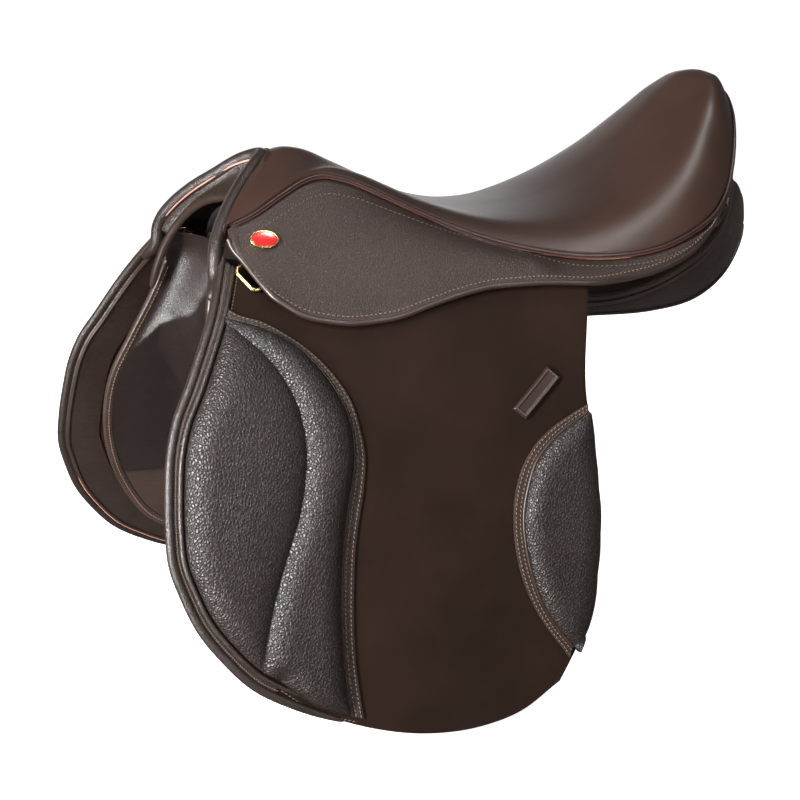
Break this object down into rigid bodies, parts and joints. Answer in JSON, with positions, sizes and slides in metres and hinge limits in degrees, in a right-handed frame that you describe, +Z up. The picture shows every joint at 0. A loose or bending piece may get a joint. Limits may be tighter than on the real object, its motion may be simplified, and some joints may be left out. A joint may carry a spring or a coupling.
{
  "type": "english saddle",
  "caption": "General-purpose english saddle with padded seat, knee and thigh pads, lifting skirts and flaps, stirrup bars and girth straps.",
  "frame": {"origin": "on the centre plane under the middle of the seat, at the level on which the panels rest on a horse or a rack", "axes": "+X from pommel to cantle, +Y from the near (left) side to the off side, +Z up"},
  "size_m": [0.5475, 0.4294, 0.467],
  "materials": {
    "seat_leather": "smooth calf leather, semi-gloss",
    "grain_leather": "fine pebble grain, satin",
    "flap_leather": "smooth waxed leather, matte",
    "pad_leather": "coarse pebbled leather, soft gloss",
    "panel_leather": "soft panel leather, satin",
    "roll_leather": "rolled edge leather, satin",
    "strap_leather": "thick bridle leather, matte",
    "tree_wood": "laminated beech, raw",
    "steel": "forged and polished steel",
    "brass": "polished brass wire",
    "enamel": "red enamel in a gilt rim",
    "webbing": "woven linen web",
    "foam": "dense seat foam under canvas"
  },
  "bodies": {
    "saddle": {"tree": "tree_wood", "gullet_plate": "steel", "spring_near": "steel", "spring_off": "steel", "seat_webbing": "webbing", "seat_foam": "foam", "seat_cover": "seat_leather", "seat_welt": "roll_leather", "pommel_roll": "roll_leather", "pommel_facing": "grain_leather", "gullet_welt": "roll_leather", "cantle_facing": "grain_leather", "skirt_band_near": "grain_leather", "skirt_band_off": "grain_leather", "skirt_nail_near": "enamel", "skirt_nail_off": "enamel", "sweat_flap_near": "panel_leather", "sweat_flap_off": "panel_leather", "knee_block_near": "panel_leather", "knee_block_off": "panel_leather", "panel_near": "panel_leather", "panel_off": "panel_leather", "panel_welt_near": "roll_leather", "panel_welt_off": "roll_leather", "point_pocket_near": "panel_leather", "point_pocket_off": "panel_leather", "stirrup_bar_near": "steel", "stirrup_bar_off": "steel", "girth_web_near": "webbing", "girth_web_off": "webbing"},
    "flap_near_side": {"flap_near": "flap_leather", "front_roll_near": "roll_leather", "front_pad_near": "pad_leather", "rear_pad_near": "pad_leather", "keeper_near": "flap_leather", "dee_chape_near": "strap_leather"},
    "skirt_near_side": {"skirt_near": "grain_leather"},
    "dee_near_side": {"dee_near": "brass"},
    "catch_near_side": {"bar_catch_near": "steel"},
    "strap_front_near": {"girth_strap_front_near": "strap_leather"},
    "strap_middle_near": {"girth_strap_middle_near": "strap_leather"},
    "strap_rear_near": {"girth_strap_rear_near": "strap_leather"},
    "guard_near_side": {"buckle_guard_near": "strap_leather"},
    "flap_off_side": {"flap_off": "flap_leather", "front_roll_off": "roll_leather", "front_pad_off": "pad_leather", "rear_pad_off": "pad_leather", "keeper_off": "flap_leather", "dee_chape_off": "strap_leather"},
    "skirt_off_side": {"skirt_off": "grain_leather"},
    "dee_off_side": {"dee_off": "brass"},
    "catch_off_side": {"bar_catch_off": "steel"},
    "strap_front_off": {"girth_strap_front_off": "strap_leather"},
    "strap_middle_off": {"girth_strap_middle_off": "strap_leather"},
    "strap_rear_off": {"girth_strap_rear_off": "strap_leather"},
    "guard_off_side": {"buckle_guard_off": "strap_leather"}
  },
  "joints": [
    {"name": "flap_lift_near", "type": "hinge", "parent": "saddle", "child": "flap_near_side", "pos_m": [-0.226, -0.084, 0.073], "axis": [-0.9679, 0.2256, 0.111], "range_deg": [0, 70]},
    {"name": "skirt_lift_near", "type": "hinge", "parent": "flap_near_side", "child": "skirt_near_side", "pos_m": [-0.226, -0.084, 0.073], "axis": [-0.9679, 0.2256, 0.111], "range_deg": [0, 55]},
    {"name": "dee_swing_near", "type": "hinge", "parent": "flap_near_side", "child": "dee_near_side", "pos_m": [-0.21, -0.0916, 0.057], "axis": [-0.4439, 0.6633, 0.6025], "range_deg": [0, 10]},
    {"name": "catch_turn_near", "type": "hinge", "parent": "saddle", "child": "catch_near_side", "pos_m": [-0.09279, -0.10543, 0.0468], "axis": [-0.0698, -0.9976, 0], "range_deg": [0, 70]},
    {"name": "strap_swing_front_near", "type": "hinge", "parent": "saddle", "child": "strap_front_near", "pos_m": [-0.07, -0.11758, 0.02669], "axis": [0, -0.9645, 0.2642], "range_deg": [-6, 6]},
    {"name": "strap_swing_middle_near", "type": "hinge", "parent": "saddle", "child": "strap_middle_near", "pos_m": [-0.035, -0.11792, 0.02668], "axis": [0, -0.9648, 0.2631], "range_deg": [-6, 6]},
    {"name": "strap_swing_rear_near", "type": "hinge", "parent": "saddle", "child": "strap_rear_near", "pos_m": [0, -0.11825, 0.02668], "axis": [0, -0.9651, 0.262], "range_deg": [-6, 6]},
    {"name": "guard_slide_near", "type": "slide", "parent": "strap_middle_near", "child": "guard_near_side", "axis": [0, 0.2631, 0.9648], "range_m": [0, 0.06]},
    {"name": "flap_lift_off", "type": "hinge", "parent": "saddle", "child": "flap_off_side", "pos_m": [-0.226, 0.084, 0.073], "axis": [0.9679, 0.2256, -0.111], "range_deg": [0, 70]},
    {"name": "skirt_lift_off", "type": "hinge", "parent": "flap_off_side", "child": "skirt_off_side", "pos_m": [-0.226, 0.084, 0.073], "axis": [0.9679, 0.2256, -0.111], "range_deg": [0, 55]},
    {"name": "dee_swing_off", "type": "hinge", "parent": "flap_off_side", "child": "dee_off_side", "pos_m": [-0.21, 0.0916, 0.057], "axis": [0.4439, 0.6633, -0.6025], "range_deg": [0, 10]},
    {"name": "catch_turn_off", "type": "hinge", "parent": "saddle", "child": "catch_off_side", "pos_m": [-0.09279, 0.10543, 0.0468], "axis": [0.0698, -0.9976, 0], "range_deg": [0, 70]},
    {"name": "strap_swing_front_off", "type": "hinge", "parent": "saddle", "child": "strap_front_off", "pos_m": [-0.07, 0.11758, 0.02669], "axis": [0, -0.9645, -0.2642], "range_deg": [-6, 6]},
    {"name": "strap_swing_middle_off", "type": "hinge", "parent": "saddle", "child": "strap_middle_off", "pos_m": [-0.035, 0.11792, 0.02668], "axis": [0, -0.9648, -0.2631], "range_deg": [-6, 6]},
    {"name": "strap_swing_rear_off", "type": "hinge", "parent": "saddle", "child": "strap_rear_off", "pos_m": [0, 0.11825, 0.02668], "axis": [0, -0.9651, -0.262], "range_deg": [-6, 6]},
    {"name": "guard_slide_off", "type": "slide", "parent": "strap_middle_off", "child": "guard_off_side", "axis": [0, -0.2631, 0.9648], "range_m": [0, 0.06]}
  ],
  "couplings": [
    {"joint": "strap_swing_front_near", "follows": "strap_swing_middle_near", "ratio": 1},
    {"joint": "strap_swing_rear_near", "follows": "strap_swing_middle_near", "ratio": 1},
    {"joint": "strap_swing_front_off", "follows": "strap_swing_middle_off", "ratio": 1},
    {"joint": "strap_swing_rear_off", "follows": "strap_swing_middle_off", "ratio": 1}
  ]
}
